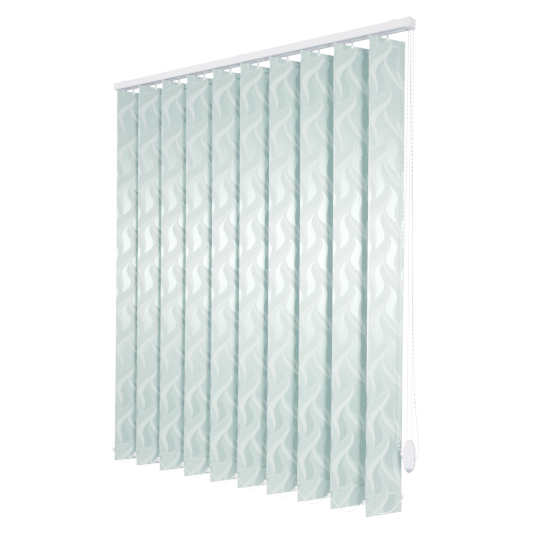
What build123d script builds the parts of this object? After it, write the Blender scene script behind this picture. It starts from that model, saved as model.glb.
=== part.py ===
from build123d import *
import math
import os

# Vertical blind with ten fabric slats. Millimetres, +Z up, +X towards the control end, -Y towards the room.
# The origin is the middle of the rail's length and depth, on the ceiling plane.

# Slats
SLAT_COUNT = 10
SLAT_PITCH = 115.0
SLAT_WIDTH = 127.0
SLAT_LENGTH = 1365.0
CLOTH = 0.5
REST_ANGLE = 63.0
TOP_HEM = 20.0
BOTTOM_HEM = 46.0
WELD = 2.0
PLATE = 1.0
POCKET_CLEARANCE = 0.3
HOLE_WIDTH = 7.0
HOLE_HEIGHT = 5.0
HOLE_DEPTH = 4.5

# Headrail
RAIL_DEPTH = 42.0
RAIL_HEIGHT = 25.5
RAIL_WALL = 1.2
RAIL_CORNER = 1.5
SLOT_WIDTH = 13.0
LIP_HEIGHT = 2.5
GROOVE_BELOW_TOP = 1.6
GROOVE_HEIGHT = 1.4
GROOVE_DEPTH = 0.7
SLAT_DROP = 16.0
FIRST_HOOK_FROM_END = 86.0
LAST_HOOK_FROM_END = 79.0

# End caps and housings
CONTROL_CAP_LENGTH = 15.0
IDLER_CAP_LENGTH = 8.0
CAP_PROUD = 0.4
CAP_WALL = 1.4
CAP_END_WALL = 1.6
CAP_REAR_RADIUS = 6.0
CAP_EDGE_RADIUS = 1.2
PLUG_CLEARANCE = 0.2
CONTROL_PLUG_LENGTH = 44.0
IDLER_PLUG_LENGTH = 32.0

# Ceiling clips
CLIP_PLATE = 1.2
CLIP_WIDTH = 20.0
CLIP_FROM_END = 54.0
CLIP_LIP = 1.0
CLIP_SCREW_RADIUS = 2.25
CLIP_TAB = 9.0

# Carriers
CARRIER_LENGTH = 33.0
CARRIER_HALF_DEPTH = 13.8
SHELF_DEPTH = 4.0
NECK_RADIUS = 5.6
NECK_BELOW_RAIL = 0.5
WHEEL_RADIUS = 4.0
WHEEL_WIDTH = 4.8
WHEEL_CLEARANCE = 0.3
WHEEL_OFFSET = 10.0
STRIP_WIDTH = 8.0
STRIP_THICK = 0.5
STRIP_STEP = 0.85
STRIP_LEVELS = 4
STRIP_OVERLAP = 8.5
STRIP_HEAD = 12.0
STRIP_HEAD_LENGTH = 0.6

# Tilt drive
ROD_FRONT = 9.0
ROD_BELOW_TOP = 12.4
ROD_RADIUS = 2.9
ROD_BORE = 3.1
WORM_RADIUS = 3.9
WORM_LENGTH = 16.0
GEAR_TEETH = 8
GEAR_TIP = 4.8
GEAR_ROOT = 3.7
GEAR_HEIGHT = 6.0

# Hooks
STEM_RADIUS = 3.3
STEM_BORE = 3.7
CLAW_WIDTH = 6.8
CLAW_LEG = 1.4
CLAW_GAP_CLEARANCE = 0.2
CLAW_ABOVE_SLAT = 5.0
FRONT_LEG = 7.6
REAR_LEG = 11.0
TOOTH_HEIGHT = 1.8
TOOTH_WIDTH = 4.0

# Bottom weights, their clips and the bottom chains
WEIGHT_WIDTH = 118.0
WEIGHT_HEIGHT = 38.0
CLIP_BLOCK = 8.0
CLIP_BLOCK_HEIGHT = 13.0
CLIP_BLOCK_THICK = 3.0
CLIP_ABOVE_BOTTOM = 42.0
CLIP_GAP = 0.6
NOTCH_DEPTH = 4.5
NOTCH_HEIGHT = 4.4
CHAIN_RADIUS = 1.5
CHAIN_SAG = 36.0
CHAIN_SLOPE = 42.0
CHAIN_LEVEL = 3.0
CHAIN_ROUND = 8.0
END_CHAIN_SAG = 39.0

# Controls
CORD_RADIUS = 1.1
PULLEY_TURN = 6.0
PULLEY_FLANGE = 7.0
PULLEY_WIDTH = 3.6
FLANGE = 0.6
PULLEY_AXLE = 1.5
PULLEY_BORE = 1.55
PULLEY_SIDES = 16
FRONT_CORD_OUT = 5.5
REAR_CORD_OUT = 11.0
FRONT_EXIT_FROM_END = 10.0
REAR_EXIT_FROM_END = 4.5
CORD_RUN_FRONT = 8.0
CORD_RUN_REAR = 16.0
CORD_RUN_BELOW_TOP = 8.3
BEAD_PITCH = 11.4
WHEEL_POCKETS = 4
BEAD_RADIUS = 2.5
CHAIN_WHEEL_WIDTH = 7.0
CHAIN_WHEEL_FROM_END = 6.5
CHAIN_WHEEL_FLANGE = 8.6
CONNECTOR_LENGTH = 15.0
CONNECTOR_WIDTH = 7.0

# Cord weight
WEIGHT_X = 597.5
WEIGHT_Y = 1.5
WEIGHT_TOP = -1184.0
WEIGHT_BODY_WIDTH = 34.0
WEIGHT_TOP_WIDTH = 18.0
WEIGHT_BODY_LENGTH = 94.0
WEIGHT_SHOULDER = 24.0
WEIGHT_SIDE_END = 66.0
WEIGHT_CHIN = 84.0
WEIGHT_CHIN_WIDTH = 22.0
WEIGHT_DEPTH = 11.0
WEIGHT_WALL = 1.5
WEIGHT_PULLEY_DROP = 19.0
WEIGHT_PULLEY_TURN = 7.0
WEIGHT_BOSS_DROP = 73.0
WEIGHT_BOSS_RADIUS = 6.4
CHAIN_TURN = 9.3

# Derived places
RAIL_TOP = -CLIP_PLATE
RAIL_BOTTOM = RAIL_TOP - RAIL_HEIGHT
RAIL_FLOOR = RAIL_BOTTOM + RAIL_WALL
RAIL_CEILING = RAIL_TOP - RAIL_WALL
HALF_LENGTH = (FIRST_HOOK_FROM_END + (SLAT_COUNT - 1) * SLAT_PITCH + LAST_HOOK_FROM_END) / 2
RAIL_LEFT = -HALF_LENGTH + IDLER_CAP_LENGTH
RAIL_RIGHT = HALF_LENGTH - CONTROL_CAP_LENGTH
INNER_HALF_DEPTH = RAIL_DEPTH / 2 - RAIL_WALL
SLAT_TOP = RAIL_BOTTOM - SLAT_DROP
SLAT_BOTTOM = SLAT_TOP - SLAT_LENGTH
HEM = PLATE + 2 * POCKET_CLEARANCE + 2 * CLOTH
LAST_HOOK_X = HALF_LENGTH - LAST_HOOK_FROM_END
WHEEL_Z = RAIL_FLOOR + WHEEL_CLEARANCE + WHEEL_RADIUS
WHEEL_TOP = WHEEL_Z + WHEEL_RADIUS
BODY_BOTTOM = RAIL_FLOOR + LIP_HEIGHT + 0.4
BODY_TOP = RAIL_CEILING - 2.0
SHELF_BOTTOM = WHEEL_TOP + 0.8
ROD_Y = -ROD_FRONT
ROD_Z = RAIL_TOP - ROD_BELOW_TOP
CORD_Z = RAIL_TOP - CORD_RUN_BELOW_TOP
CLIP_Z = SLAT_BOTTOM + CLIP_ABOVE_BOTTOM
CHAIN_Z = CLIP_Z
POST_U = SLAT_WIDTH / 2 + CLIP_GAP + CLIP_BLOCK / 2
CHAIN_U = POST_U + CLIP_BLOCK / 2 - NOTCH_DEPTH + CHAIN_RADIUS + 1.3
CHAIN_WHEEL_TURN = WHEEL_POCKETS * BEAD_PITCH / (2 * math.pi)
CHAIN_WHEEL_X = HALF_LENGTH - CHAIN_WHEEL_FROM_END


def hook_x(number):
    return LAST_HOOK_X - (SLAT_COUNT - number) * SLAT_PITCH


def block(x0, x1, y0, y1, z0, z1):
    box = Box(x1 - x0, y1 - y0, z1 - z0)
    return Pos((x0 + x1) / 2, (y0 + y1) / 2, (z0 + z1) / 2) * box


def prism_along_x(inradius, sides, x0, x1, y, z):
    outline = RegularPolygon(inradius, sides, major_radius=False)
    return Pos(x0, y, z) * Rot(0, 90, 0) * extrude(outline, x1 - x0)


def prism_along_y(inradius, sides, x, y0, y1, z):
    outline = RegularPolygon(inradius, sides, major_radius=False, rotation=180 / sides)
    return Pos(x, y1, z) * Rot(90, 0, 0) * extrude(outline, y1 - y0)


def prism_along_z(inradius, sides, x, y, z0, z1):
    outline = RegularPolygon(inradius, sides, major_radius=False)
    return Pos(x, y, z0) * extrude(outline, z1 - z0)


def at_hook(number, shape):
    return Pos(hook_x(number), 0, 0) * Rot(0, 0, REST_ANGLE) * shape


def write(name, *shapes):
    solids = [solid for shape in shapes for solid in shape.solids()]
    body = solids[0] if len(solids) == 1 else Compound(children=solids)
    export_step(body, f"parts/{name}.step")


# Headrail: a channel with a grip groove along each top edge and upturned lips beside its slot
def headrail():
    centre_z = (RAIL_TOP + RAIL_BOTTOM) / 2
    outside = RectangleRounded(RAIL_DEPTH, RAIL_HEIGHT, RAIL_CORNER)
    inside = Rectangle(RAIL_DEPTH - 2 * RAIL_WALL, RAIL_HEIGHT - 2 * RAIL_WALL)
    profile = Pos(0, centre_z) * (outside - inside)
    lip_y = SLOT_WIDTH / 2 + RAIL_WALL / 2
    lip_z = RAIL_FLOOR + LIP_HEIGHT / 2
    for side in (-1, 1):
        profile += Pos(side * lip_y, lip_z) * Rectangle(RAIL_WALL, LIP_HEIGHT)
    slot_z = RAIL_BOTTOM + RAIL_WALL / 2
    profile -= Pos(0, slot_z) * Rectangle(SLOT_WIDTH, 2 * RAIL_WALL)
    groove_z = RAIL_TOP - GROOVE_BELOW_TOP - GROOVE_HEIGHT / 2
    for side in (-1, 1):
        groove_y = side * RAIL_DEPTH / 2
        profile -= Pos(groove_y, groove_z) * Rectangle(2 * GROOVE_DEPTH, GROOVE_HEIGHT)
    return extrude(Plane.YZ.offset(RAIL_LEFT) * profile, RAIL_RIGHT - RAIL_LEFT)


# Ceiling clip: spring plate whose lips hook into the rail's grooves, with a release tab at the rear
def ceiling_clip(x):
    lip_out = RAIL_DEPTH / 2 + CLIP_LIP
    lip_bottom = RAIL_TOP - GROOVE_BELOW_TOP - GROOVE_HEIGHT + 0.3
    hook_in = RAIL_DEPTH / 2 - GROOVE_DEPTH + 0.15
    hook_top = RAIL_TOP - GROOVE_BELOW_TOP - 0.2
    left, right = x - CLIP_WIDTH / 2, x + CLIP_WIDTH / 2
    clip = block(left, right, -lip_out, lip_out + CLIP_TAB, -CLIP_PLATE, 0)
    for side in (-1, 1):
        near, far = sorted((side * (RAIL_DEPTH / 2 + 0.05), side * lip_out))
        clip += block(left, right, near, far, lip_bottom, 0)
        near, far = sorted((side * hook_in, side * lip_out))
        clip += block(left, right, near, far, lip_bottom, hook_top)
    clip -= Pos(x, 0, -CLIP_PLATE / 2) * Cylinder(CLIP_SCREW_RADIUS, 2 * CLIP_PLATE)
    tab_slot = block(x - 3, x + 3, lip_out + 3, lip_out + 6, -2 * CLIP_PLATE, CLIP_PLATE)
    return clip - tab_slot


# Carrier: wheeled block with a pocket for worm and gear, the stem's bore and a window for cord and strips
def carrier():
    half = CARRIER_LENGTH / 2
    rear = CARRIER_HALF_DEPTH + SHELF_DEPTH
    body = block(-half, half, -CARRIER_HALF_DEPTH, CARRIER_HALF_DEPTH, BODY_BOTTOM, BODY_TOP)
    body += block(-half, half, CARRIER_HALF_DEPTH, rear, SHELF_BOTTOM, BODY_TOP)
    body += prism_along_z(NECK_RADIUS, 8, 0, 0, RAIL_BOTTOM - NECK_BELOW_RAIL, BODY_BOTTOM)
    worm_room = WORM_RADIUS + 0.5
    floor = ROD_Z - worm_room
    body -= prism_along_z(STEM_BORE, 8, 0, 0, RAIL_BOTTOM - 2, floor)
    worm_half = WORM_LENGTH / 2 + 0.3
    gear_half = GEAR_TIP + 0.4
    body -= block(-worm_half, worm_half, ROD_Y - worm_room, gear_half, floor, BODY_TOP)
    body -= prism_along_x(ROD_BORE, 6, -half, half, ROD_Y, ROD_Z)
    window_front = CORD_RUN_FRONT - CORD_RADIUS - 0.3
    window_rear = CORD_RUN_REAR + CORD_RADIUS + 0.3
    window_low = strip_z(0) - 0.25
    body -= block(-half, half, window_front, window_rear, window_low, CORD_Z + CORD_RADIUS + 0.6)
    for side in (-1, 1):
        tread = sorted((side * (CARRIER_HALF_DEPTH - 0.5), side * (CARRIER_HALF_DEPTH + WHEEL_WIDTH)))
        for x in (-WHEEL_OFFSET, WHEEL_OFFSET):
            body += prism_along_y(WHEEL_RADIUS, 8, x, *tread, WHEEL_Z)
    return body


def strip_z(level):
    return SHELF_BOTTOM + 1.0 + level * STRIP_STEP


# Worm sleeve: turns with the rod and slides along it
def worm():
    half = WORM_LENGTH / 2
    sleeve = prism_along_x(WORM_RADIUS, 8, -half, half, ROD_Y, ROD_Z)
    return sleeve - prism_along_x(ROD_BORE, 6, -half, half, ROD_Y, ROD_Z)


# Spacer strip: headed at its own carrier and reaching into the next one to the left
def spacer(number):
    half = CARRIER_LENGTH / 2
    low = strip_z(number % STRIP_LEVELS)
    middle = (CORD_RUN_FRONT + CORD_RUN_REAR) / 2
    left = -SLAT_PITCH + half - STRIP_OVERLAP
    near, far = middle - STRIP_WIDTH / 2, middle + STRIP_WIDTH / 2
    strip = block(left, half, near, far, low, low + STRIP_THICK)
    near, far = middle - STRIP_HEAD / 2, middle + STRIP_HEAD / 2
    strip += block(half, half + STRIP_HEAD_LENGTH, near, far, low, low + STRIP_THICK)
    return strip


# Hook: stem with its gear on top and a two-legged claw whose tooth goes through the slat's hole
def hook():
    gear_top = ROD_Z + GEAR_HEIGHT / 2
    gear_bottom = ROD_Z - GEAR_HEIGHT / 2
    claw_top = SLAT_TOP + CLAW_ABOVE_SLAT
    stem = prism_along_z(STEM_RADIUS, 12, 0, 0, claw_top, gear_bottom)
    step = 2 * math.pi / GEAR_TEETH
    points = []
    for tooth in range(GEAR_TEETH):
        for turn, radius in ((0, GEAR_TIP), (0.5, GEAR_ROOT)):
            angle = (tooth + turn) * step
            points.append((radius * math.cos(angle), radius * math.sin(angle)))
    outline = make_face(Polyline(*points, close=True))
    gear = Pos(0, 0, gear_bottom) * extrude(outline, gear_top - gear_bottom)
    inner = HEM / 2 + CLAW_GAP_CLEARANCE
    outer = inner + CLAW_LEG
    half = CLAW_WIDTH / 2
    above = SLAT_TOP + 1.0
    claw = block(-half, half, -outer, outer, above, claw_top)
    claw += block(-half, half, inner, outer, SLAT_TOP - REAR_LEG, above)
    claw += block(-half, half, -outer, -inner, SLAT_TOP - FRONT_LEG, above)
    tooth_top = SLAT_TOP - FRONT_LEG + TOOTH_HEIGHT
    claw += block(
        -TOOTH_WIDTH / 2, TOOTH_WIDTH / 2, -inner, inner - 0.3,
        SLAT_TOP - FRONT_LEG, tooth_top,
    )
    return stem + gear + claw


def tooth_hole():
    hole_top = SLAT_TOP - HOLE_DEPTH
    half = HOLE_WIDTH / 2
    return block(-half, half, -HEM, HEM, hole_top - HOLE_HEIGHT, hole_top)


# Slat: one strip of cloth, folded over and welded into an open-ended pocket at top and bottom
def slat():
    half = SLAT_WIDTH / 2
    pocket = PLATE / 2 + POCKET_CLEARANCE
    cloth = block(-half, half, -CLOTH / 2, CLOTH / 2, SLAT_BOTTOM, SLAT_TOP)
    cloth += block(-half, half, -HEM / 2, HEM / 2, SLAT_TOP - TOP_HEM, SLAT_TOP)
    cloth += block(-half, half, -HEM / 2, HEM / 2, SLAT_BOTTOM, SLAT_BOTTOM + BOTTOM_HEM)
    cloth -= block(-half, half, -pocket, pocket, SLAT_TOP - TOP_HEM + WELD, SLAT_TOP - CLOTH)
    cloth -= block(-half, half, -pocket, pocket, SLAT_BOTTOM + CLOTH, SLAT_BOTTOM + BOTTOM_HEM - WELD)
    return cloth - tooth_hole()


# Hanger plate in the top hem
def hanger():
    half = WEIGHT_WIDTH / 2
    top = SLAT_TOP - CLOTH - POCKET_CLEARANCE
    bottom = SLAT_TOP - TOP_HEM + WELD + POCKET_CLEARANCE
    return block(-half, half, -PLATE / 2, PLATE / 2, bottom, top) - tooth_hole()


# Weight plate in the bottom hem, with a notched chain clip past each edge of the cloth
def weight_plate():
    half = WEIGHT_WIDTH / 2
    bottom = SLAT_BOTTOM + CLOTH + POCKET_CLEARANCE
    top = SLAT_BOTTOM + BOTTOM_HEM - WELD - POCKET_CLEARANCE
    plate = block(-half, half, -PLATE / 2, PLATE / 2, bottom, bottom + WEIGHT_HEIGHT)
    clip_inner = POST_U - CLIP_BLOCK / 2
    for side in (-1, 1):
        near, far = sorted((side * (half - 10), side * clip_inner))
        plate += block(near, far, -PLATE / 2, PLATE / 2, top - 9, top)
        half_width, half_height, cut = CLIP_BLOCK / 2, CLIP_BLOCK_HEIGHT / 2, 1.5
        outline = [
            (-half_width, -half_height),
            (half_width - cut, -half_height),
            (half_width, -half_height + cut),
            (half_width, -NOTCH_HEIGHT / 2),
            (half_width - NOTCH_DEPTH, -NOTCH_HEIGHT / 2),
            (half_width - NOTCH_DEPTH, NOTCH_HEIGHT / 2),
            (half_width, NOTCH_HEIGHT / 2),
            (half_width, half_height - cut),
            (half_width - cut, half_height),
            (-half_width, half_height),
        ]
        face = make_face(Polyline(*outline, close=True))
        clip = Rot(90, 0, 0) * extrude(face, CLIP_BLOCK_THICK / 2, both=True)
        turned = clip if side > 0 else Rot(0, 0, 180) * clip
        plate += Pos(side * POST_U, 0, CLIP_Z) * turned
    return plate


# One hanging length of bottom chain: level in the clips, straight sides and a round bottom
def chain_span(span, sag):
    slope = math.tan(math.radians(CHAIN_SLOPE))
    half = span / 2
    low = half - CHAIN_LEVEL - (sag - CHAIN_ROUND) / slope
    points = [
        (0, 0),
        (CHAIN_LEVEL, 0),
        (half - low, CHAIN_ROUND - sag),
        (half - low / 2, CHAIN_ROUND / 4 - sag),
        (half + low / 2, CHAIN_ROUND / 4 - sag),
        (half + low, CHAIN_ROUND - sag),
        (span - CHAIN_LEVEL, 0),
        (span, 0),
    ]
    path = Plane.XZ * Polyline(*points)
    section = Plane.YZ * Rot(0, 0, 30) * RegularPolygon(CHAIN_RADIUS, 6)
    return sweep(section, path=path, transition=Transition.RIGHT)


def bottom_chain(side):
    angle = math.radians(REST_ANGLE)
    x = side * CHAIN_U * math.cos(angle)
    y = side * CHAIN_U * math.sin(angle)
    return [
        Pos(hook_x(number) + x, y, CHAIN_Z) * chain_span(SLAT_PITCH, CHAIN_SAG)
        for number in range(1, SLAT_COUNT)
    ]


def end_chain():
    front = CLIP_BLOCK_THICK / 2 + CHAIN_RADIUS * math.cos(math.pi / 6)
    return Pos(-CHAIN_U, -front, CHAIN_Z) * chain_span(2 * CHAIN_U, END_CHAIN_SAG)


# Pulley with a square-bottomed groove, axis along Z at the origin
def pulley(turn, flange_radius, bore):
    half = PULLEY_WIDTH / 2
    drum = extrude(RegularPolygon(turn - CORD_RADIUS - 0.1, PULLEY_SIDES), half, both=True)
    for low in (-half, half - FLANGE):
        drum += Pos(0, 0, low) * extrude(RegularPolygon(flange_radius, PULLEY_SIDES), FLANGE)
    return drum - extrude(RegularPolygon(bore, 8, major_radius=False), half, both=True)


FRONT_PULLEY_X = HALF_LENGTH - FRONT_EXIT_FROM_END - PULLEY_TURN
REAR_PULLEY_X = HALF_LENGTH - REAR_EXIT_FROM_END - PULLEY_TURN
PULLEY_Z = CORD_Z - PULLEY_TURN
RETURN_X = RAIL_LEFT + IDLER_PLUG_LENGTH / 2 + 2
RETURN_Y = (CORD_RUN_FRONT + CORD_RUN_REAR) / 2
RETURN_TURN = (CORD_RUN_REAR - CORD_RUN_FRONT) / 2


# Room over the rail's lips, cut from the plugs that fill the rail's ends
def lip_channel(x0, x1):
    half = SLOT_WIDTH / 2 + RAIL_WALL + 0.3
    return block(x0, x1, -half, half, RAIL_BOTTOM, RAIL_FLOOR + LIP_HEIGHT + 0.3)


# Control housing: the plug in the rail's right end that carries the cord pulleys and the chain wheel
def control_housing():
    left = RAIL_RIGHT - CONTROL_PLUG_LENGTH
    right = HALF_LENGTH - CAP_END_WALL - PLUG_CLEARANCE
    depth = INNER_HALF_DEPTH - PLUG_CLEARANCE
    low, high = RAIL_FLOOR + PLUG_CLEARANCE, RAIL_CEILING - PLUG_CLEARANCE
    plug = block(left, right, -depth, depth, low, high)
    rear_corner = plug.edges().filter_by(Axis.Z).sort_by(Axis.Y)[-2:].sort_by(Axis.X)[-1:]
    plug = fillet(rear_corner, CAP_REAR_RADIUS - CAP_END_WALL) - lip_channel(left, RAIL_RIGHT)
    wheel_room = CHAIN_WHEEL_TURN + BEAD_RADIUS + 0.5
    wheel_left = CHAIN_WHEEL_X - CHAIN_WHEEL_WIDTH / 2 - 0.3
    plug -= prism_along_x(wheel_room, 16, wheel_left, right, ROD_Y, ROD_Z)
    plug -= block(wheel_left, right, ROD_Y - wheel_room, ROD_Y + wheel_room, low, ROD_Z)
    plug -= prism_along_x(ROD_BORE, 6, left, wheel_left, ROD_Y, ROD_Z)
    room = PULLEY_FLANGE + 0.3
    for x, y in ((FRONT_PULLEY_X, FRONT_CORD_OUT), (REAR_PULLEY_X, REAR_CORD_OUT)):
        near, far = y - PULLEY_WIDTH / 2 - 0.1, y + PULLEY_WIDTH / 2 + 0.1
        plug -= block(x - room, min(x + room, right), near, far, low, PULLEY_Z + room)
        plug += prism_along_y(PULLEY_AXLE - 0.1, 8, x, near, far, PULLEY_Z)
    cord_room = CORD_RADIUS + 0.6
    plug -= block(
        left, REAR_PULLEY_X - 3, FRONT_CORD_OUT - cord_room, CORD_RUN_REAR + cord_room,
        CORD_Z - cord_room, CORD_Z + cord_room,
    )
    return plug


def cap_block(x0, x1):
    half = RAIL_DEPTH / 2 + CAP_PROUD
    cap = block(x0, x1, -half, half, RAIL_BOTTOM - CAP_PROUD, RAIL_TOP + CAP_PROUD)
    outer_x = x1 if x1 > 0 else x0
    rear = cap.edges().filter_by(Axis.Z).sort_by(Axis.Y)[-2:]
    rear_end = [edge for edge in rear if abs(edge.center().X - outer_x) < 0.01]
    cap = fillet(rear_end, CAP_REAR_RADIUS)
    front = cap.edges().filter_by(Axis.Z).sort_by(Axis.Y)[:2]
    front_end = [edge for edge in front if abs(edge.center().X - outer_x) < 0.01]
    return fillet(front_end, CAP_EDGE_RADIUS)


# Control cover: the cap over the housing's end, with two holes for the chain and two for the cord
def control_cover():
    cap = cap_block(RAIL_RIGHT, HALF_LENGTH)
    half = INNER_HALF_DEPTH + PLUG_CLEARANCE
    room = block(
        RAIL_RIGHT, HALF_LENGTH - CAP_END_WALL, -half, half,
        RAIL_FLOOR - PLUG_CLEARANCE, RAIL_CEILING + PLUG_CLEARANCE,
    )
    rear_corner = room.edges().filter_by(Axis.Z).sort_by(Axis.Y)[-2:].sort_by(Axis.X)[-1:]
    cap -= fillet(rear_corner, CAP_REAR_RADIUS - CAP_END_WALL)
    low = RAIL_BOTTOM - 2 * CAP_PROUD
    for side in (-1, 1):
        y = ROD_Y + side * CHAIN_WHEEL_TURN
        cap -= prism_along_z(BEAD_RADIUS + 0.6, 16, CHAIN_WHEEL_X, y, low, RAIL_FLOOR)
    for from_end, y in ((FRONT_EXIT_FROM_END, FRONT_CORD_OUT), (REAR_EXIT_FROM_END, REAR_CORD_OUT)):
        cap -= prism_along_z(CORD_RADIUS + 0.6, 12, HALF_LENGTH - from_end, y, low, RAIL_FLOOR)
    return cap


# Idler housing: the left end cap in one piece with the plug that holds the rod and the return pulley
def idler_housing():
    depth = INNER_HALF_DEPTH - PLUG_CLEARANCE
    low, high = RAIL_FLOOR + PLUG_CLEARANCE, RAIL_CEILING - PLUG_CLEARANCE
    right = RAIL_LEFT + IDLER_PLUG_LENGTH
    body = cap_block(-HALF_LENGTH, RAIL_LEFT)
    body += block(RAIL_LEFT, right, -depth, depth, low, high) - lip_channel(RAIL_LEFT, right)
    body -= prism_along_x(ROD_BORE, 6, RAIL_LEFT, right, ROD_Y, ROD_Z)
    room = PULLEY_WIDTH / 2 + 0.2
    reach = RETURN_TURN + CORD_RADIUS + 0.6
    slot = block(
        RETURN_X - reach - 2, right, RETURN_Y - reach, RETURN_Y + reach,
        CORD_Z - room, CORD_Z + room,
    )
    axle = prism_along_z(PULLEY_AXLE - 0.1, 8, RETURN_X, RETURN_Y, CORD_Z - room, CORD_Z + room)
    return body - slot + axle


# Tilt rod: hexagonal bar from the idler housing to the chain wheel
def tilt_rod():
    left = RAIL_LEFT + 1.0
    outline = RegularPolygon(ROD_RADIUS, 6)
    length = CHAIN_WHEEL_X + CHAIN_WHEEL_WIDTH / 2 - left
    return Pos(left, ROD_Y, ROD_Z) * Rot(0, 90, 0) * extrude(outline, length)


# Chain wheel: flanged wheel with a pocket for each bead on the turn
def chain_wheel():
    half = CHAIN_WHEEL_WIDTH / 2
    groove = BEAD_RADIUS + 0.15
    drum = RegularPolygon(CHAIN_WHEEL_TURN - BEAD_RADIUS - 0.1, PULLEY_SIDES)
    wheel = extrude(drum, half, both=True)
    flange = half - groove
    rim = RegularPolygon(CHAIN_WHEEL_FLANGE, PULLEY_SIDES)
    for low in (-half, groove):
        wheel += Pos(0, 0, low) * extrude(rim, flange)
    wheel -= extrude(RegularPolygon(ROD_RADIUS + 0.05, 6), half, both=True)
    return Pos(CHAIN_WHEEL_X, ROD_Y, ROD_Z) * Rot(0, 90, 0) * wheel


# Round tube along a route of straight runs, each corner as wide an arc as its two runs allow
def tube(points, radius, tight=None):
    vectors = [Vector(*point) for point in points]
    radii = []
    for index in range(1, len(vectors) - 1):
        before = vectors[index] - vectors[index - 1]
        after = vectors[index + 1] - vectors[index]
        turn = math.radians(before.get_angle(after))
        shorter = min(before.length, after.length)
        radii.append(0.45 * shorter / math.tan(turn / 2))
    for index, value in (tight or {}).items():
        radii[index - 1] = value
    path = FilletPolyline(*points, radius=radii)
    direction = vectors[1] - vectors[0]
    section = Plane(vectors[0], z_dir=direction) * RegularPolygon(radius, 6)
    solid = sweep(section, path=path)
    area = section.area
    length = sum(edge.length for edge in path.edges())
    print("tube radii", [round(value, 1) for value in radii])
    share = solid.volume / (area * length)
    print("tube length", round(length, 1), "volume over section times length", round(share, 5))
    return solid


CORD_START_Z = PULLEY_Z - 0.2
FRONT_EXIT_X = HALF_LENGTH - FRONT_EXIT_FROM_END
REAR_EXIT_X = HALF_LENGTH - REAR_EXIT_FROM_END


# Cord inside the rail: over both cord pulleys and round the return pulley
def rail_cord():
    turn_x = RETURN_X - RETURN_TURN
    points = [
        (FRONT_EXIT_X, FRONT_CORD_OUT, CORD_START_Z),
        (FRONT_EXIT_X, FRONT_CORD_OUT, CORD_Z),
        (RAIL_RIGHT - 15, FRONT_CORD_OUT, CORD_Z),
        (RAIL_RIGHT - 36, CORD_RUN_FRONT, CORD_Z),
        (turn_x, CORD_RUN_FRONT, CORD_Z),
        (turn_x, CORD_RUN_REAR, CORD_Z),
        (RAIL_RIGHT - 36, CORD_RUN_REAR, CORD_Z),
        (RAIL_RIGHT - 15, REAR_CORD_OUT, CORD_Z),
        (REAR_EXIT_X, REAR_CORD_OUT, CORD_Z),
        (REAR_EXIT_X, REAR_CORD_OUT, CORD_START_Z),
    ]
    turn = RETURN_TURN - 0.05
    tight = {1: PULLEY_TURN, 2: 30, 3: 30, 4: turn, 5: turn, 6: 25, 7: 25, 8: PULLEY_TURN}
    return tube(points, CORD_RADIUS, tight)


# Draw cord: down from the front pulley, round the weight's pulley and back up
def draw_cord():
    pulley_z = WEIGHT_TOP - WEIGHT_PULLEY_DROP
    left, right = WEIGHT_X - WEIGHT_PULLEY_TURN, WEIGHT_X + WEIGHT_PULLEY_TURN
    bottom = pulley_z - WEIGHT_PULLEY_TURN
    points = [
        (FRONT_EXIT_X, FRONT_CORD_OUT, CORD_START_Z),
        (FRONT_EXIT_X, FRONT_CORD_OUT, RAIL_BOTTOM - 12),
        (left, WEIGHT_Y, WEIGHT_TOP + 12),
        (left, WEIGHT_Y, bottom),
        (right, WEIGHT_Y, bottom),
        (right, WEIGHT_Y, WEIGHT_TOP + 12),
        (REAR_EXIT_X, REAR_CORD_OUT, RAIL_BOTTOM - 12),
        (REAR_EXIT_X, REAR_CORD_OUT, CORD_START_Z),
    ]
    turn = WEIGHT_PULLEY_TURN - 0.02
    return tube(points, CORD_RADIUS, {3: turn, 4: turn})


# Control chain: hangs from the chain wheel, spreads past the cord weight and turns round its boss
def control_chain():
    front_y, rear_y = ROD_Y - CHAIN_WHEEL_TURN, ROD_Y + CHAIN_WHEEL_TURN
    boss_z = WEIGHT_TOP - WEIGHT_BOSS_DROP
    left, right = WEIGHT_X - CHAIN_TURN, WEIGHT_X + CHAIN_TURN
    points = [
        (CHAIN_WHEEL_X, front_y, ROD_Z),
        (CHAIN_WHEEL_X, front_y, -75),
        (587.8, -11.5, -340),
        (587, -6, -410),
        (578.5, -4.5, -650),
        (574.5, -1, -1043),
        (568, 0.5, -1150),
        (566.5, 1, -1200),
        (573, WEIGHT_Y, -1232),
        (left, WEIGHT_Y, -1249),
        (left, WEIGHT_Y, boss_z - CHAIN_TURN),
        (right, WEIGHT_Y, boss_z - CHAIN_TURN),
        (right, WEIGHT_Y, -1249),
        (620, WEIGHT_Y, -1230),
        (626, 2, -1200),
        (620.5, 2.5, -1150),
        (609, 2.5, -1043),
        (602.2, 1.5, -650),
        (598, 0.5, -369),
        (CHAIN_WHEEL_X, rear_y, -75),
        (CHAIN_WHEEL_X, rear_y, ROD_Z),
    ]
    turn = CHAIN_TURN - 0.1
    hanging = tube(points, BEAD_RADIUS, {10: turn, 11: turn})
    over = CenterArc((ROD_Y, ROD_Z), CHAIN_WHEEL_TURN, 0, 180)
    section = Pos(CHAIN_WHEEL_X, rear_y, ROD_Z) * RegularPolygon(BEAD_RADIUS, 6)
    wrap = sweep(section, path=Plane.YZ.offset(CHAIN_WHEEL_X) * over)
    return [hanging, wrap]


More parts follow.
